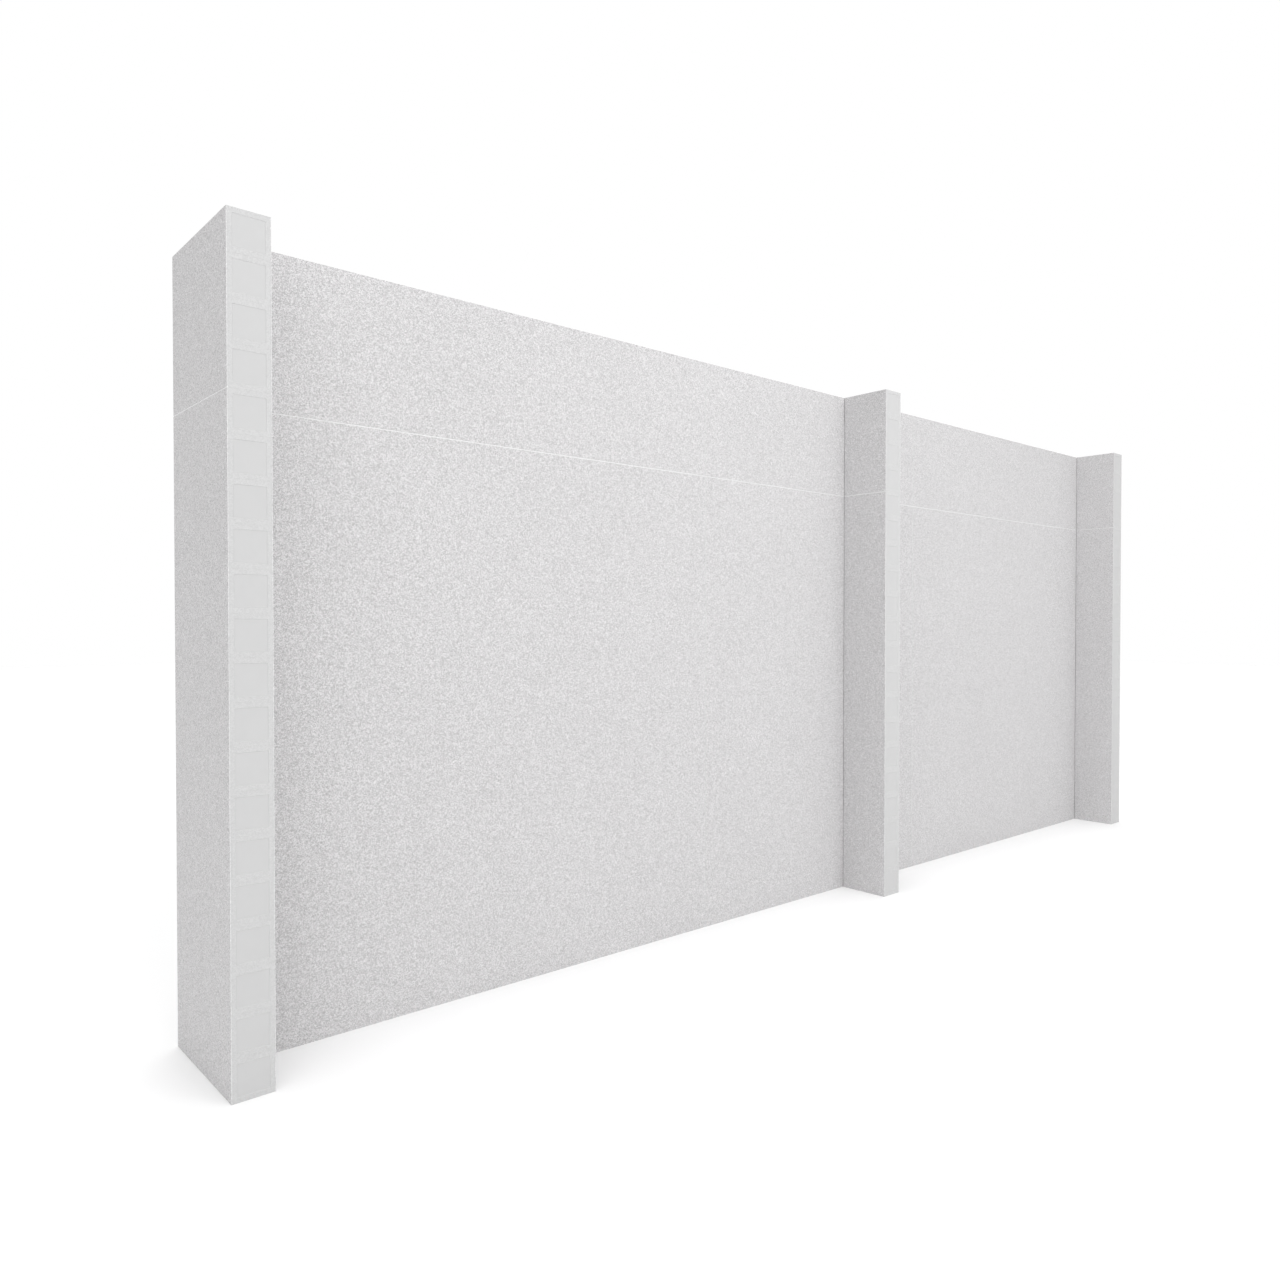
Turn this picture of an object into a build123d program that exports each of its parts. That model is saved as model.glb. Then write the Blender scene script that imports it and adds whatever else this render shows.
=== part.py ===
"""Free-standing barrier wall of dry-stacked interlocking concrete blocks.

Three pilasters and two bays on one square module. Blocks lock together with a
stud on top and a socket beneath, thin textured facing sheets cover the bays and
the sides of the pilasters, and steel tie rods hold the stack together.

Frame: X runs along the wall, the front of the wall faces -Y, Z is up, and the
origin is at the middle of the footprint, on the ground. Millimetres.
"""

from build123d import *
from functools import lru_cache
from math import ceil
import os

INCH = 25.4

# ---- The wall ---------------------------------------------------------------
MODULE = 6 * INCH  # height and width of a block, and half of its length
COURSES = 20
BAY_1_CELLS = 24  # modules between the first and the second pilaster
BAY_2_CELLS = 20  # modules between the second and the third pilaster
FRONT_CELLS = 2  # modules by which a pilaster stands in front of the wall
REAR_CELLS = 1  # modules by which it stands behind the wall

# ---- A block ----------------------------------------------------------------
FULL_CELLS = 2  # a full block is two modules long, a half block is one
END_GAP = 0.5  # each end of a block stands this far inside its cell
ARRIS = 0.4  # chamfer round an end face that shows
END_FRAME = 19.05  # margin round the panel that is sunk in each end face
END_RECESS = 1.5  # depth of that panel
END_DRAFT = 45  # slope of the panel's sides, in degrees
STUD_RADIUS = 31.0
STUD_HEIGHT = 40.0
STUD_DRAFT = 1.5  # radius lost over the height of a stud or the depth of a socket
SOCKET_PLAY = 2.0  # radial clearance between a stud and its socket
SOCKET_HEADROOM = 4.0  # clearance between the top of a stud and its socket's ceiling
CORE_PLAY = 4.0  # radial clearance between a tie rod and the core that it runs in

# ---- Facing sheets ----------------------------------------------------------
FACING = 3.2  # thickness of a sheet
SHEET = 96 * INCH  # length of a sheet's side
JOINT = 4.0  # width of the filled joint between two sheets
CORNER_GAP = 4.5  # open gap in the corner between a pilaster's sheets and a bay's

# ---- Tie rods ---------------------------------------------------------------
ROD_RADIUS = 6.0
THREAD_PLAY = 0.05  # radial clearance between a rod and its nuts
ROD_END = 10.0  # rod standing above its top nut
ROD_FOOT_GAP = 1.0  # clearance between a rod's foot and the middle of its coupling nut
NUT_FLATS = 19.0  # width across flats of the top nuts and the coupling nuts
NUT_HEIGHT = 10.0
WASHER_RADIUS = 25.0
WASHER_HOLE_PLAY = 0.75
WASHER_THICKNESS = 6.0
NUT_SETBACK = 2.0  # height of a coupling nut's lower end above the ground
TAPPED_RADIUS = 5.1  # tapping size of the thread left free for an anchor stud

# ---- Worked out from the above ----------------------------------------------
PILASTER_CELLS = (0, BAY_1_CELLS + 1, BAY_1_CELLS + BAY_2_CELLS + 2)
LENGTH_CELLS = PILASTER_CELLS[-1] + 1
DEPTH_CELLS = FRONT_CELLS + 1 + REAR_CELLS
LENGTH = LENGTH_CELLS * MODULE
DEPTH = DEPTH_CELLS * MODULE
HEIGHT = COURSES * MODULE

BLOCK_WIDTH = MODULE - 2 * FACING
CORE_RADIUS = ROD_RADIUS + CORE_PLAY
SOCKET_RADIUS = STUD_RADIUS + SOCKET_PLAY
SOCKET_DEPTH = STUD_HEIGHT + SOCKET_HEADROOM
POCKET_DEPTH = SOCKET_DEPTH + WASHER_THICKNESS + NUT_HEIGHT + ROD_END

COUPLING_LENGTH = SOCKET_DEPTH - WASHER_THICKNESS - NUT_SETBACK
ROD_FOOT = NUT_SETBACK + COUPLING_LENGTH / 2 + ROD_FOOT_GAP
ROD_SEAT = HEIGHT - MODULE + STUD_HEIGHT  # the studs beneath the cap course
ROD_TOP = ROD_SEAT + WASHER_THICKNESS + NUT_HEIGHT + ROD_END

UPWARD = (Align.CENTER, Align.CENTER, Align.MIN)


def cell_x(cell):
    """Where a cell of the wall begins along X."""
    return cell * MODULE - LENGTH / 2


def cell_y(cell):
    """Where a cell of a pilaster begins along Y."""
    return cell * MODULE - DEPTH / 2


HALF = MODULE / 2
WALL_FRONT = cell_y(FRONT_CELLS)
WALL_REAR = WALL_FRONT + MODULE
WALL_MIDDLE = WALL_FRONT + HALF


def slab(x, y, z):
    """A box between two limits on each axis."""
    size = [high - low for low, high in (x, y, z)]
    middle = [(low + high) / 2 for low, high in (x, y, z)]
    return Pos(*middle) * Box(*size)


def write(node, solids):
    """Write one node's solids to its own file."""
    export_step(Compound(solids), f"parts/{node}.step")


# ---- Blocks -----------------------------------------------------------------
@lru_cache(maxsize=None)
def block(cells, cap=False, cut_start=False, cut_end=False, show_ends=False):
    """One block along +X from the origin, centred on Y and standing on Z = 0.

    A cut end is sawn flat where it meets a facing sheet, and ends that show have
    a chamfered arris. A cap block has a flat top, and deep blind pockets beneath
    it that clear the ends of the tie rods.
    """
    start = FACING if cut_start else END_GAP
    end = cells * MODULE - (FACING if cut_end else END_GAP)
    side = BLOCK_WIDTH / 2
    body = slab((start, end), (-side, side), (0, MODULE))

    faces = body.faces().sort_by(Axis.X)
    moulded = []
    if not cut_start:
        moulded.append((faces[0], end_panel(start, 1)))
    if not cut_end:
        moulded.append((faces[-1], end_panel(end, -1)))
    if show_ends:
        body = chamfer([edge for face, _ in moulded for edge in face.edges()], ARRIS)
    for _, panel in moulded:
        body -= panel

    for cell in range(cells):
        middle = (cell + 0.5) * MODULE
        if cap:
            body -= Pos(middle, 0, 0) * cap_pocket()
        else:
            body += Pos(middle, 0, MODULE) * stud()
            body -= Pos(middle, 0, 0) * socket()
            body -= Pos(middle, 0, 0) * core()
    return body.solid()


def end_panel(face, inward):
    """The square that is sunk in an end face, with sides that slope in to it."""
    mouth = Plane(origin=(face, 0, HALF), x_dir=(0, 1, 0), z_dir=(inward, 0, 0))
    side = MODULE - 2 * END_FRAME
    return extrude(mouth * Rectangle(side, side), END_RECESS, taper=END_DRAFT)


def stud():
    return Cone(STUD_RADIUS, STUD_RADIUS - STUD_DRAFT, STUD_HEIGHT, align=UPWARD)


def socket():
    return Cone(SOCKET_RADIUS, SOCKET_RADIUS - STUD_DRAFT, SOCKET_DEPTH, align=UPWARD)


def cap_pocket():
    return Cylinder(SOCKET_RADIUS, POCKET_DEPTH, align=UPWARD)


def core():
    """The hole down through a block and its stud."""
    return Cylinder(CORE_RADIUS, MODULE + STUD_HEIGHT, align=UPWARD)


def fill(first, count, half_first=False):
    """The blocks that fill a run of cells, as (first cell, length in cells)."""
    end = first + count
    run = [(first, 1)] if half_first else []
    cell = first + len(run)
    while cell < end:
        cells = min(FULL_CELLS, end - cell)
        run.append((cell, cells))
        cell += cells
    return run


def is_through(course):
    """On even courses the line of the wall runs through the pilasters."""
    return course % 2 == 0


def wall_blocks(course):
    """The blocks of one course that lie along the wall."""
    if is_through(course):
        first_bay_end = PILASTER_CELLS[1] + 1
        rest = LENGTH_CELLS - first_bay_end
        run = fill(0, first_bay_end) + fill(first_bay_end, rest, half_first=rest % 2 == 1)
    else:
        run = fill(1, BAY_1_CELLS) + fill(PILASTER_CELLS[1] + 1, BAY_2_CELLS)
    blocks = []
    for first, cells in run:
        piece = block(
            cells,
            cap=course == COURSES,
            cut_start=first == 0,
            cut_end=first + cells == LENGTH_CELLS,
            show_ends=course == COURSES,
        )
        blocks.append(Pos(cell_x(first), WALL_MIDDLE, (course - 1) * MODULE) * piece)
    return blocks


def pilaster_blocks(course):
    """The blocks of one course that lie across the wall, in all three pilasters.

    Every fourth course starts with a half block at the front, so that no joint
    runs up through the depth of a pilaster.
    """
    if is_through(course):
        run = fill(0, FRONT_CELLS) + fill(FRONT_CELLS + 1, REAR_CELLS)
    else:
        run = fill(0, DEPTH_CELLS, half_first=course % 4 == 3)
    blocks = []
    for pilaster in PILASTER_CELLS:
        for first, cells in run:
            piece = block(cells, cap=course == COURSES, show_ends=True)
            place = Pos(cell_x(pilaster) + HALF, cell_y(first), (course - 1) * MODULE)
            blocks.append(place * Rot(0, 0, 90) * piece)
    return blocks


# ---- Facing sheets and the beads that fill their joints -----------------------
def joints(low, high, from_high=False):
    """Where the joints fall between two limits, one sheet apart."""
    count = ceil((high - low) / SHEET) - 1
    steps = [SHEET * (number + 1) for number in range(count)]
    return sorted(high - step for step in steps) if from_high else [low + step for step in steps]


def spans(low, high, places):
    """The stretches between two limits that the joints at these places leave."""
    edges = [low]
    for place in places:
        edges += [place - JOINT / 2, place + JOINT / 2]
    edges.append(high)
    return list(zip(edges[0::2], edges[1::2]))


LEVELS = joints(0, HEIGHT)
STOREYS = spans(0, HEIGHT, LEVELS)


def joint_span(place):
    return (place - JOINT / 2, place + JOINT / 2)


def side_skin(face, inward):
    """The span of a sheet's thickness, from its outer face towards the blocks."""
    return tuple(sorted((face, face + inward * FACING)))


def pilaster_side(face, inward, stretches):
    """Sheets and horizontal beads on one side of a pilaster."""
    skin = side_skin(face, inward)
    sheets = [slab(skin, stretch, storey) for stretch in stretches for storey in STOREYS]
    beads = [slab(skin, stretch, joint_span(level)) for stretch in stretches for level in LEVELS]
    return sheets, beads


def bay_side(face, inward, start, end, from_end):
    """Sheets, horizontal beads and vertical beads on one side of a bay.

    The sheets run on behind the edges of the pilasters' own facing.
    """
    skin = side_skin(face, inward)
    uprights = joints(start, end, from_high=from_end)
    reach = (start - FACING, end + FACING)
    sheets = [slab(span, skin, storey) for span in spans(*reach, uprights) for storey in STOREYS]
    level_beads = [slab(reach, skin, joint_span(level)) for level in LEVELS]
    upright_beads = [slab(joint_span(place), skin, storey) for place in uprights for storey in STOREYS]
    return sheets, level_beads, upright_beads


def write_facings():
    whole = [(-DEPTH / 2, DEPTH / 2)]
    parted = [(-DEPTH / 2, WALL_FRONT - CORNER_GAP), (WALL_REAR + CORNER_GAP, DEPTH / 2)]
    sides = (
        ("pilaster_1_outer_facing", PILASTER_CELLS[0], 1, whole),
        ("pilaster_1_inner_facing", PILASTER_CELLS[0] + 1, -1, parted),
        ("pilaster_2_left_facing", PILASTER_CELLS[1], 1, parted),
        ("pilaster_2_right_facing", PILASTER_CELLS[1] + 1, -1, parted),
        ("pilaster_3_inner_facing", PILASTER_CELLS[2], 1, parted),
        ("pilaster_3_outer_facing", PILASTER_CELLS[2] + 1, -1, whole),
    )
    horizontal_beads = []
    vertical_beads = []
    for node, cell, inward, stretches in sides:
        sheets, beads = pilaster_side(cell_x(cell), inward, stretches)
        write(node, sheets)
        horizontal_beads += beads

    for bay in (1, 2):
        start = cell_x(PILASTER_CELLS[bay - 1] + 1)
        end = cell_x(PILASTER_CELLS[bay])
        for name, face, inward in (("front", WALL_FRONT, 1), ("rear", WALL_REAR, -1)):
            sheets, beads, upright_beads = bay_side(face, inward, start, end, from_end=bay == 2)
            write(f"bay_{bay}_{name}_facing", sheets)
            horizontal_beads += beads
            vertical_beads += upright_beads
    write("horizontal_joint_beads", horizontal_beads)
    if vertical_beads:
        write("vertical_joint_beads", vertical_beads)


# ---- Tie rods -----------------------------------------------------------------
def hexagon(height):
    """A hexagonal bar standing on Z = 0."""
    return extrude(RegularPolygon(NUT_FLATS / 2, 6, major_radius=False), height)


def top_nut():
    return hexagon(NUT_HEIGHT) - Cylinder(ROD_RADIUS + THREAD_PLAY, NUT_HEIGHT, align=UPWARD)


def coupling_nut():
    """Holds a tie rod in its upper half and takes an anchor stud in its lower half."""
    half = COUPLING_LENGTH / 2
    rod_socket = Pos(0, 0, half) * Cylinder(ROD_RADIUS + THREAD_PLAY, half, align=UPWARD)
    return hexagon(COUPLING_LENGTH) - rod_socket - Cylinder(TAPPED_RADIUS, half, align=UPWARD)


def washer():
    disc = Cylinder(WASHER_RADIUS, WASHER_THICKNESS, align=UPWARD)
    return disc - Cylinder(ROD_RADIUS + WASHER_HOLE_PLAY, WASHER_THICKNESS, align=UPWARD)


def pilaster_rod_places():
    """One rod in the first and one in the last cell of each pilaster's depth."""
    rows = (cell_y(0) + HALF, cell_y(DEPTH_CELLS - 1) + HALF)
    return [(cell_x(pilaster) + HALF, row) for pilaster in PILASTER_CELLS for row in rows]


def bay_rod_places():
    """Two rods in each bay, about a third of the bay from either pilaster."""
    places = []
    for before, after in zip(PILASTER_CELLS, PILASTER_CELLS[1:]):
        third = round((after - before - 1) / 3)
        for cell in (before + third, after - third):
            places.append((cell_x(cell) + HALF, WALL_MIDDLE))
    return places


def write_tie_rods():
    in_pilasters = pilaster_rod_places()
    in_bays = bay_rod_places()
    everywhere = in_pilasters + in_bays
    rod = Cylinder(ROD_RADIUS, ROD_TOP - ROD_FOOT, align=UPWARD)
    repeated = (
        ("pilaster_tie_rods", rod, ROD_FOOT, in_pilasters),
        ("bay_tie_rods", rod, ROD_FOOT, in_bays),
        ("tie_rod_coupling_nuts", coupling_nut(), NUT_SETBACK, everywhere),
        ("tie_rod_base_washers", washer(), SOCKET_DEPTH - WASHER_THICKNESS, everywhere),
        ("tie_rod_top_washers", washer(), ROD_SEAT, everywhere),
        ("tie_rod_top_nuts", top_nut(), ROD_SEAT + WASHER_THICKNESS, everywhere),
    )
    for node, piece, height, places in repeated:
        write(node, [Pos(x, y, height) * piece for x, y in places])


# ---- The whole wall -------------------------------------------------------------
os.makedirs("parts", exist_ok=True)
for course in range(1, COURSES + 1):
    name = "cap_course" if course == COURSES else f"course_{course:02d}"
    write(f"{name}_wall_blocks", wall_blocks(course))
    write(f"{name}_pilaster_blocks", pilaster_blocks(course))
write_facings()
write_tie_rods()
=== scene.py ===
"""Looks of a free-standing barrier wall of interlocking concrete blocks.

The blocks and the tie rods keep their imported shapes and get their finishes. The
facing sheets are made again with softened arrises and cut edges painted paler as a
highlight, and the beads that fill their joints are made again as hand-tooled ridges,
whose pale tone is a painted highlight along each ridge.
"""

from math import radians

import bmesh
import bpy
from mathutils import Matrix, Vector, noise


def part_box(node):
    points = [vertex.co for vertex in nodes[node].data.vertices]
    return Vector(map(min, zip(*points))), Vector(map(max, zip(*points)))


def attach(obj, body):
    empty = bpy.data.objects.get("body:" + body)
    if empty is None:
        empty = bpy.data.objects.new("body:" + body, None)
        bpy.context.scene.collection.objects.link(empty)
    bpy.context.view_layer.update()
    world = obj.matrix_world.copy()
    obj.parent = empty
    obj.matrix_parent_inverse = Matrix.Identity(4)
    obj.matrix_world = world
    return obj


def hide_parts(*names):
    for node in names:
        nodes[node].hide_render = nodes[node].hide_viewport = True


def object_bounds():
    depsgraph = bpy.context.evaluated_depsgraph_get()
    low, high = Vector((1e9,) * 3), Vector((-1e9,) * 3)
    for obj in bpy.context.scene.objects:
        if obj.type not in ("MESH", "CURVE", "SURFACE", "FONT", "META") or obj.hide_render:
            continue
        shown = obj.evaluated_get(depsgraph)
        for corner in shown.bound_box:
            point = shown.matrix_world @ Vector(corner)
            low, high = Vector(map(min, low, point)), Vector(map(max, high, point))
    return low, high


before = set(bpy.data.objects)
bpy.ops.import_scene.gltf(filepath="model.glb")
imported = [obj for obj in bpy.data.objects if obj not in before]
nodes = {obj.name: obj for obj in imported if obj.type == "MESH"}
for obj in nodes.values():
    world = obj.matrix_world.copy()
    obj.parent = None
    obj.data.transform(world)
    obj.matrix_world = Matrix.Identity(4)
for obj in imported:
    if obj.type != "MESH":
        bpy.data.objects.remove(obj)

cad_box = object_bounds()

MM = 0.001
MODULE = 152.4 * MM  # height and width of a block

# ---- Camera -------------------------------------------------------------------
CAMERA_PLACE = (-4.679, -3.662, 1.634)
CAMERA_TURN = 41.306  # degrees from the wall's normal towards its far end
CAMERA_DROP = 0.855  # degrees below level
CAMERA_LENS = 27.01
CAMERA_SENSOR = 36

# ---- Light and floor ------------------------------------------------------------
SKY_LIGHT = 0.69  # strength of the even light from all round
SUNS = (
    # name, strength, then in degrees: spread, elevation, and turn from the wall's front to its first end
    ("key", 0.39, 50, 35, 30),
    ("side_key", 0.22, 50, 35, 65),
    ("rear_fill", 0.5, 50, 35, 210),
    ("overhead", 0.68, 20, 90, 0),
)
SOFTBOXES = (
    # name, power, width, place, and the place that it faces
    ("near_softbox", 74, 3, (-3.0, -5.5, 5.5), (0, 0, 1.5)),
    ("far_softbox", 125, 4, (0.5, -6.0, 7.0), (0.5, 0, 2.5)),
)
FLOOR_REACH = 40  # metres of floor on every side
FLOOR_TONE = (0.93, 0.93, 0.93)

# ---- Finishes, as linear reflectances --------------------------------------------
SHEET_TONE = (0.578, 0.573, 0.577)
ROSY_TONE = (0.59, 0.565, 0.58)
# paler than the sheet's face: a painted highlight on the sheets' arrises and cut edges
SHEET_EDGE_HIGHLIGHT_TONE = (0.67, 0.67, 0.672)
BLOCK_TONE = (0.552, 0.552, 0.553)
# the beads' pale tones are a painted highlight along their ridges
LEVEL_BEAD_HIGHLIGHT_TONE = (0.80, 0.80, 0.802)
UPRIGHT_BEAD_HIGHLIGHT_TONE = (0.65, 0.648, 0.65)
STEEL_TONE = (0.60, 0.61, 0.62)

# ---- Grain of the concrete ----------------------------------------------------------
FINE_GRAIN = 3.4 * MM
COARSE_GRAIN = 9 * MM
SAND = 2.5 * MM
FINE_GRAIN_TONES = (0.71, 1.25)  # the darkest and the palest grain, against the sheet's tone
COARSE_GRAIN_TONES = (0.98, 1.02)
ROSY_GRAINS = (0.86, 0.90)  # grains whose random number is above these turn rosy
END_FRAME_SHARE = 0.125  # width of the frame round a block's end panel, as a share of the module
END_FRAME_BLUR = 0.005  # share of the module over which a frame turns into its panel
CLOUDS = (0.3, 0.7)  # most of a cloudy noise lies between these

# ---- Small shapes -----------------------------------------------------------------
SHEET_EDGE_RADIUS = 0.7 * MM
BEAD_CROWN = 1.2 * MM  # how far the flanks of a bead fall away from its ridge
BEAD_WANDER = 0.5 * MM  # how far the ridge strays from the middle of its joint
BEAD_STEP = 25 * MM  # length of bead between two cross-sections
WIDEST_JOINT = 12 * MM  # a wider opening between two sheets isn't a joint
SAME_PLACE = 0.01 * MM  # points closer than this are one point


# ==== Shader building ================================================================
class Finish:
    """A material under construction, with short calls for the nodes it needs."""

    def __init__(self, name):
        self.material = bpy.data.materials.new(name)
        self.material.use_nodes = True
        self.tree = self.material.node_tree
        self.shader = self.tree.nodes["Principled BSDF"]
        self.place = self.node("ShaderNodeTexCoord").outputs["Object"]

    def node(self, kind, **settings):
        made = self.tree.nodes.new(kind)
        for name, value in settings.items():
            setattr(made, name, value)
        return made

    def join(self, source, socket):
        self.tree.links.new(source, socket)

    def feed(self, socket, value):
        """Links a socket, or sets a plain number or colour on it."""
        if isinstance(value, bpy.types.NodeSocket):
            self.join(value, socket)
        elif socket.type == "RGBA":
            socket.default_value = (*value, 1.0)
        else:
            socket.default_value = value

    def noise(self, size, detail=2.0, roughness=0.5):
        """Cloudy noise, 0 to 1, with features of about this size in metres."""
        made = self.node("ShaderNodeTexNoise")
        self.join(self.place, made.inputs["Vector"])
        made.inputs["Scale"].default_value = 1 / size
        made.inputs["Detail"].default_value = detail
        made.inputs["Roughness"].default_value = roughness
        return made.outputs["Fac"]

    def grains(self, size):
        """Packed grains of about this size: a random colour each, and the distance to its middle."""
        made = self.node("ShaderNodeTexVoronoi")
        self.join(self.place, made.inputs["Vector"])
        made.inputs["Scale"].default_value = 1 / size
        return made.outputs["Color"], made.outputs["Distance"]

    def span(self, value, low, high, out_low=0.0, out_high=1.0):
        """A value's range from low to high, mapped to another range and held at its ends."""
        made = self.node("ShaderNodeMapRange")
        self.join(value, made.inputs["Value"])
        made.inputs["From Min"].default_value = low
        made.inputs["From Max"].default_value = high
        made.inputs["To Min"].default_value = out_low
        made.inputs["To Max"].default_value = out_high
        return made.outputs["Result"]

    def varied(self, value, low, high):
        """A value of 0 to 1 as a factor from low to high."""
        return self.span(value, 0.0, 1.0, low, high)

    def math(self, operation, first, second=0.0):
        made = self.node("ShaderNodeMath", operation=operation)
        self.feed(made.inputs[0], first)
        self.feed(made.inputs[1], second)
        return made.outputs[0]

    def product(self, first, *others):
        for other in others:
            first = self.math("MULTIPLY", first, other)
        return first

    def channel(self, colour, name):
        made = self.node("ShaderNodeSeparateColor")
        self.join(colour, made.inputs["Color"])
        return made.outputs[name]

    def mix(self, share, first, second):
        made = self.node("ShaderNodeMix", data_type="RGBA")
        of_colours = [socket for socket in made.inputs if socket.type == "RGBA"]
        self.feed(made.inputs[0], share)
        self.feed(of_colours[0], first)
        self.feed(of_colours[1], second)
        return next(socket for socket in made.outputs if socket.type == "RGBA")

    def lit(self, colour, factor):
        """A colour made lighter or darker by a factor that varies over the surface."""
        made = self.node("ShaderNodeVectorMath", operation="SCALE")
        self.feed(made.inputs[0], colour)
        self.join(factor, made.inputs["Scale"])
        return made.outputs[0]

    def bump(self, height, depth, strength=1.0):
        made = self.node("ShaderNodeBump")
        made.inputs["Distance"].default_value = depth
        made.inputs["Strength"].default_value = strength
        self.join(height, made.inputs["Height"])
        self.join(made.outputs["Normal"], self.shader.inputs["Normal"])

    def finish(self, colour, roughness, metallic=0.0):
        self.feed(self.shader.inputs["Base Color"], colour)
        self.feed(self.shader.inputs["Roughness"], roughness)
        self.shader.inputs["Metallic"].default_value = metallic
        return self.material


def granular_sheet():
    """Fine exposed grain on the facing sheets: grey sand with paler, darker and faintly rosy grains."""
    f = Finish("granular_facing")
    colour, distance = f.grains(FINE_GRAIN)
    pick = f.channel(colour, "Red")
    fine = f.varied(pick, *FINE_GRAIN_TONES)
    coarse = f.varied(f.channel(f.grains(COARSE_GRAIN)[0], "Green"), *COARSE_GRAIN_TONES)
    sand = f.span(f.noise(SAND, 2, 0.6), *CLOUDS, 0.95, 1.05)
    cloud = f.span(f.noise(700 * MM, 3, 0.5), *CLOUDS, 0.99, 1.01)
    tone = f.product(fine, coarse, sand, cloud)
    rosy = f.span(f.channel(colour, "Green"), *ROSY_GRAINS)
    f.bump(f.math("ADD", distance, sand), 1.0 * MM, 0.6)
    return f.finish(f.lit(f.mix(rosy, SHEET_TONE, ROSY_TONE), tone), f.varied(pick, 0.82, 0.95))


def cut_edge_highlight():
    """The cut edge of a facing sheet, painted a little paler than its face as a highlight."""
    f = Finish("sheet_cut_edge")
    grain = f.varied(f.channel(f.grains(FINE_GRAIN)[0], "Blue"), 0.86, 1.14)
    sand = f.noise(SAND, 3, 0.6)
    f.bump(sand, 0.3 * MM, 0.4)
    tone = f.product(grain, f.span(sand, *CLOUDS, 0.96, 1.04))
    return f.finish(f.lit(SHEET_EDGE_HIGHLIGHT_TONE, tone), 0.9)


def end_frame_share(f):
    """1 on the frames round the blocks' end panels, which repeat on the module, and 0 on the panels."""
    place = f.node("ShaderNodeSeparateXYZ")
    f.join(f.place, place.inputs[0])
    from_middle = []
    for axis, start in (("X", cad_box[0][0]), ("Z", cad_box[0][2])):
        cells = f.math("DIVIDE", f.math("SUBTRACT", place.outputs[axis], start), MODULE)
        from_middle.append(f.math("ABSOLUTE", f.math("SUBTRACT", f.math("FRACT", cells), 0.5)))
    edge = 0.5 - END_FRAME_SHARE
    return f.span(f.math("MAXIMUM", *from_middle), edge - END_FRAME_BLUR, edge + END_FRAME_BLUR)


def smooth_block():
    """Moulded concrete: sandy frames round smooth end panels, with faint clouds and fine pores."""
    f = Finish("moulded_concrete")
    cloud = f.span(f.noise(45 * MM, 4, 0.55), *CLOUDS, 0.992, 1.008)
    pores = f.span(f.grains(COARSE_GRAIN)[1], 0.02, 0.07, 0.97, 1.0)
    grain = f.varied(f.channel(f.grains(FINE_GRAIN)[0], "Red"), 0.94, 1.06)
    sand = f.span(f.noise(2.2 * MM, 3, 0.6), 0.25, 0.75, 0.97, 1.03)
    frame_share = end_frame_share(f)
    frame_tone = f.math("MULTIPLY", f.product(grain, sand), 1.015)
    sandy = f.math("ADD", 1.0, f.math("MULTIPLY", frame_share, f.math("SUBTRACT", frame_tone, 1.0)))
    rough = f.math("MULTIPLY", sand, f.varied(frame_share, 0.3, 1.0))
    f.bump(f.math("ADD", pores, rough), 0.3 * MM, 0.25)
    tone = f.product(cloud, pores, sandy)
    return f.finish(f.lit(BLOCK_TONE, tone), f.span(f.noise(20 * MM), *CLOUDS, 0.75, 0.87))


def tooled_filler(name, tone, contrast):
    """Joint filler with sand from the sheets dragged into it, in a pale tone that paints the highlight of
    its ridge. Contrast is that of the sand.
    """
    f = Finish(name)
    drag = f.noise(6 * MM, 3, 0.6)
    sand = f.varied(f.channel(f.grains(FINE_GRAIN)[0], "Blue"), 1 - contrast, 1 + contrast)
    f.bump(drag, 0.2 * MM, 0.3)
    return f.finish(f.lit(tone, f.product(sand, f.span(drag, *CLOUDS, 0.95, 1.05))), 0.8)


def zinc_steel():
    """Zinc-plated steel with a dull spangle."""
    f = Finish("zinc_plated_steel")
    spangle = f.channel(f.grains(3 * MM)[0], "Blue")
    f.bump(f.noise(1.2 * MM), 0.05 * MM, 0.3)
    colour = f.lit(STEEL_TONE, f.varied(spangle, 0.9, 1.06))
    return f.finish(colour, f.varied(spangle, 0.34, 0.5), metallic=1.0)


# ==== Pieces ===========================================================================
def merged_copy(node):
    """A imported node's mesh, with its loose triangles joined and its flat faces whole."""
    shape = bmesh.new()
    shape.from_mesh(nodes[node].data)
    bmesh.ops.remove_doubles(shape, verts=shape.verts, dist=SAME_PLACE)
    bmesh.ops.dissolve_limit(shape, angle_limit=radians(1), verts=shape.verts, edges=shape.edges)
    return shape


def stand_in(name, shape, node, slot, *materials):
    """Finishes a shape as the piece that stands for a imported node."""
    bmesh.ops.recalc_face_normals(shape, faces=shape.faces)
    mesh = bpy.data.meshes.new(name)
    shape.to_mesh(mesh)
    shape.free()
    for material in materials:
        mesh.materials.append(material)
    piece = bpy.data.objects.new(name, mesh)
    bpy.context.scene.collection.objects.link(piece)
    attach(piece, "root")
    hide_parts(node)
    return piece


def thin_axis(low, high):
    """The axis through a facing's sheets, 0 for X or 1 for Y."""
    return 0 if high.x - low.x < high.y - low.y else 1


def facing_sheets(node, face_material, edge_highlight_material):
    """The sheets of one facing, with softened arrises and cut edges painted paler as a highlight."""
    shape = merged_copy(node)
    thin = thin_axis(*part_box(node))
    for face in shape.faces:
        face.material_index = 0 if abs(face.normal[thin]) > 0.5 else 1
    bmesh.ops.bevel(
        shape,
        geom=list(shape.edges),
        offset=SHEET_EDGE_RADIUS,
        segments=2,
        profile=0.5,
        affect="EDGES",
        material=-1,
    )
    return stand_in(f"{node}_sheets", shape, node, "facing_concrete", face_material, edge_highlight_material)


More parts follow.
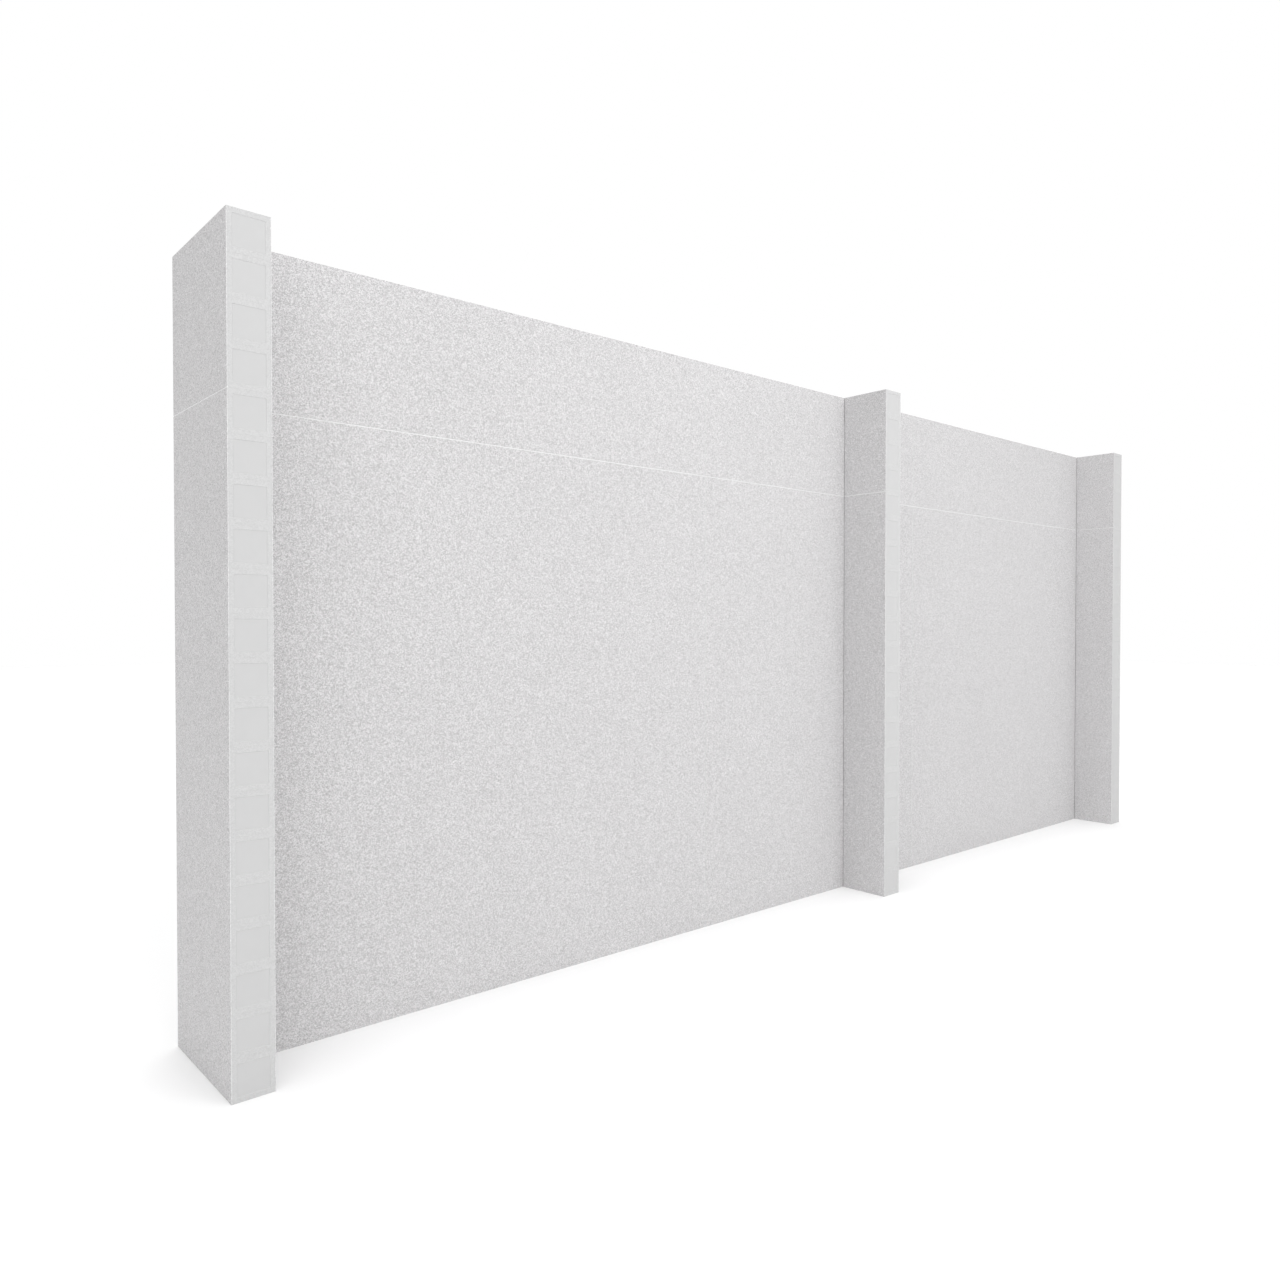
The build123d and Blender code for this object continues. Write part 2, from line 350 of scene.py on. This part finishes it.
def separate_boxes(shape):
    """The low and high corners of each separate solid in a shape."""
    left = set(shape.verts)
    boxes = []
    while left:
        reached = {left.pop()}
        front = list(reached)
        while front:
            vert = front.pop()
            neighbours = {edge.other_vert(vert) for edge in vert.link_edges} - reached
            reached |= neighbours
            front += neighbours
        left -= reached
        corners = [[vert.co[axis] for vert in reached] for axis in range(3)]
        boxes.append((Vector(map(min, corners)), Vector(map(max, corners))))
    return boxes


def extents(boxes, axis):
    """The different spans that boxes take up along an axis, in order, to 0.01 mm."""
    return sorted({(round(low[axis], 5), round(high[axis], 5)) for low, high in boxes})


def joint_gaps(spans):
    """The joints between neighbouring spans, leaving out wider openings."""
    gaps = [(first[1], second[0]) for first, second in zip(spans, spans[1:])]
    return [(low, high) for low, high in gaps if high - low < WIDEST_JOINT]


def stretches(spans):
    """Spans run together across their joints."""
    whole = [list(spans[0])]
    for low, high in spans[1:]:
        if low - whole[-1][1] < WIDEST_JOINT:
            whole[-1][1] = high
        else:
            whole.append([low, high])
    return whole


def outward(low, high, thin):
    """The side on which a facing shows, -1 or 1: its outer face lies on a module line."""
    cells = (high[thin] - cad_box[0][thin]) / MODULE
    return 1 if abs(cells - round(cells)) < 0.001 else -1


def joints_of(facing):
    """The level and the upright joints between the sheets of a facing.

    Each is its low corner, its high corner, the axis through the sheets and the
    side on which they show.
    """
    source = merged_copy(facing)
    boxes = separate_boxes(source)
    source.free()
    low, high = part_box(facing)
    thin = thin_axis(low, high)
    run = 1 - thin
    sides = extents(boxes, run)
    storeys = extents(boxes, 2)

    def joint(along, up):
        first, second = low.copy(), high.copy()
        first[run], second[run] = along
        first.z, second.z = up
        return first, second, thin, outward(low, high, thin)

    level = [joint(stretch, gap) for stretch in stretches(sides) for gap in joint_gaps(storeys)]
    upright = [joint(gap, storey) for gap in joint_gaps(sides) for storey in storeys]
    return level, upright


def draw_bead(low, high, thin, side):
    """Joint filler drawn along one joint: flanks that fall away from a ridge that strays a little."""
    size = high - low
    along = 2 if size.z > size[1 - thin] else 1 - thin
    across = 3 - thin - along
    face = high[thin] if side > 0 else low[thin]
    bead = bmesh.new()
    bmesh.ops.create_cube(bead, size=1.0)
    bmesh.ops.scale(bead, vec=size, verts=bead.verts)
    bmesh.ops.translate(bead, vec=(low + high) / 2, verts=bead.verts)
    for axis, cuts in ((across, 1), (along, max(1, round(size[along] / BEAD_STEP)))):
        half = size[axis] / 2
        parallel = [edge for edge in bead.edges if abs((edge.verts[0].co - edge.verts[1].co)[axis]) > half]
        bmesh.ops.subdivide_edges(bead, edges=parallel, cuts=cuts, use_grid_fill=False)
    middle = (low[across] + high[across]) / 2
    for vert in bead.verts:
        if abs(vert.co[thin] - face) > SAME_PLACE:
            continue
        if abs(vert.co[across] - middle) > SAME_PLACE:
            vert.co[thin] -= side * BEAD_CROWN
        elif low[along] < vert.co[along] < high[along]:
            vert.co[across] += BEAD_WANDER * noise.noise(vert.co / (4 * BEAD_STEP))
    return bead


def tooled_beads(node, joints, material):
    """The beads in all the joints of one direction."""
    shape = bmesh.new()
    for joint in joints:
        bead = draw_bead(*joint)
        mesh = bpy.data.meshes.new("bead")
        bead.to_mesh(mesh)
        bead.free()
        shape.from_mesh(mesh)
        bpy.data.meshes.remove(mesh)
    return stand_in(f"{node}_tooled", shape, node, "joint_filler", material)


# ==== Studio =============================================================================
def place_camera():
    lens = bpy.data.cameras.new("camera")
    lens.lens = CAMERA_LENS
    lens.sensor_width = CAMERA_SENSOR
    camera = bpy.data.objects.new("camera", lens)
    camera.location = CAMERA_PLACE
    camera.rotation_euler = (radians(90 - CAMERA_DROP), 0, radians(-CAMERA_TURN))
    bpy.context.scene.collection.objects.link(camera)
    bpy.context.scene.camera = camera


def lay_floor():
    shape = bmesh.new()
    bmesh.ops.create_grid(shape, x_segments=1, y_segments=1, size=FLOOR_REACH)
    mesh = bpy.data.meshes.new("floor")
    shape.to_mesh(mesh)
    shape.free()
    mesh.materials.append(Finish("pale_floor").finish(FLOOR_TONE, 0.9))
    floor = bpy.data.objects.new("floor", mesh)
    bpy.context.scene.collection.objects.link(floor)


def add_lamp(name, kind, energy):
    light = bpy.data.lights.new(name, kind)
    light.energy = energy
    lamp = bpy.data.objects.new(name, light)
    bpy.context.scene.collection.objects.link(lamp)
    return lamp


def soft_sun(name, energy, spread, elevation, turn):
    """Even light from a broad patch of sky."""
    lamp = add_lamp(name, "SUN", energy)
    lamp.data.angle = radians(spread)
    lamp.rotation_euler = (radians(90 - elevation), 0, radians(-turn))


def softbox(name, energy, size, place, target):
    """A square light that faces a place, and doesn't show itself."""
    lamp = add_lamp(name, "AREA", energy)
    lamp.data.size = size
    lamp.location = place
    lamp.rotation_euler = (Vector(place) - Vector(target)).to_track_quat("Z", "Y").to_euler()
    lamp.visible_camera = False


def white_room():
    """An even sky that lights softly and shows as plain white behind the wall."""
    world = bpy.data.worlds.new("studio")
    world.use_nodes = True
    tree = world.node_tree
    background = tree.nodes["Background"]
    background.inputs["Color"].default_value = (1, 1, 1, 1)
    ray = tree.nodes.new("ShaderNodeLightPath")
    strength = tree.nodes.new("ShaderNodeMapRange")
    strength.inputs["To Min"].default_value = SKY_LIGHT
    strength.inputs["To Max"].default_value = 1.0
    tree.links.new(ray.outputs["Is Camera Ray"], strength.inputs["Value"])
    tree.links.new(strength.outputs["Result"], background.inputs["Strength"])
    bpy.context.scene.world = world


def light_studio():
    white_room()
    for sun in SUNS:
        soft_sun(*sun)
    for box in SOFTBOXES:
        softbox(*box)
    bpy.context.scene.view_settings.view_transform = "Standard"


# ==== The whole scene =====================================================================
place_camera()
lay_floor()
light_studio()

sheet_face = granular_sheet()
# cut edges painted paler than the faces, as a highlight
sheet_edge_highlight = cut_edge_highlight()
block = smooth_block()
# pale tones: a painted highlight along the beads' ridges
level_filler = tooled_filler("level_joint_filler", LEVEL_BEAD_HIGHLIGHT_TONE, 0.08)
upright_filler = tooled_filler("upright_joint_filler", UPRIGHT_BEAD_HIGHLIGHT_TONE, 0.18)
steel = zinc_steel()

level_joints = []
upright_joints = []
for node, piece in nodes.items():
    if node.endswith("_facing"):
        facing_sheets(node, sheet_face, sheet_edge_highlight)
        level, upright = joints_of(node)
        level_joints += level
        upright_joints += upright
    elif not node.endswith("_joint_beads"):
        for slot in piece.material_slots:
            slot.material = block if node.endswith("_blocks") else steel
tooled_beads("horizontal_joint_beads", level_joints, level_filler)
tooled_beads("vertical_joint_beads", upright_joints, upright_filler)
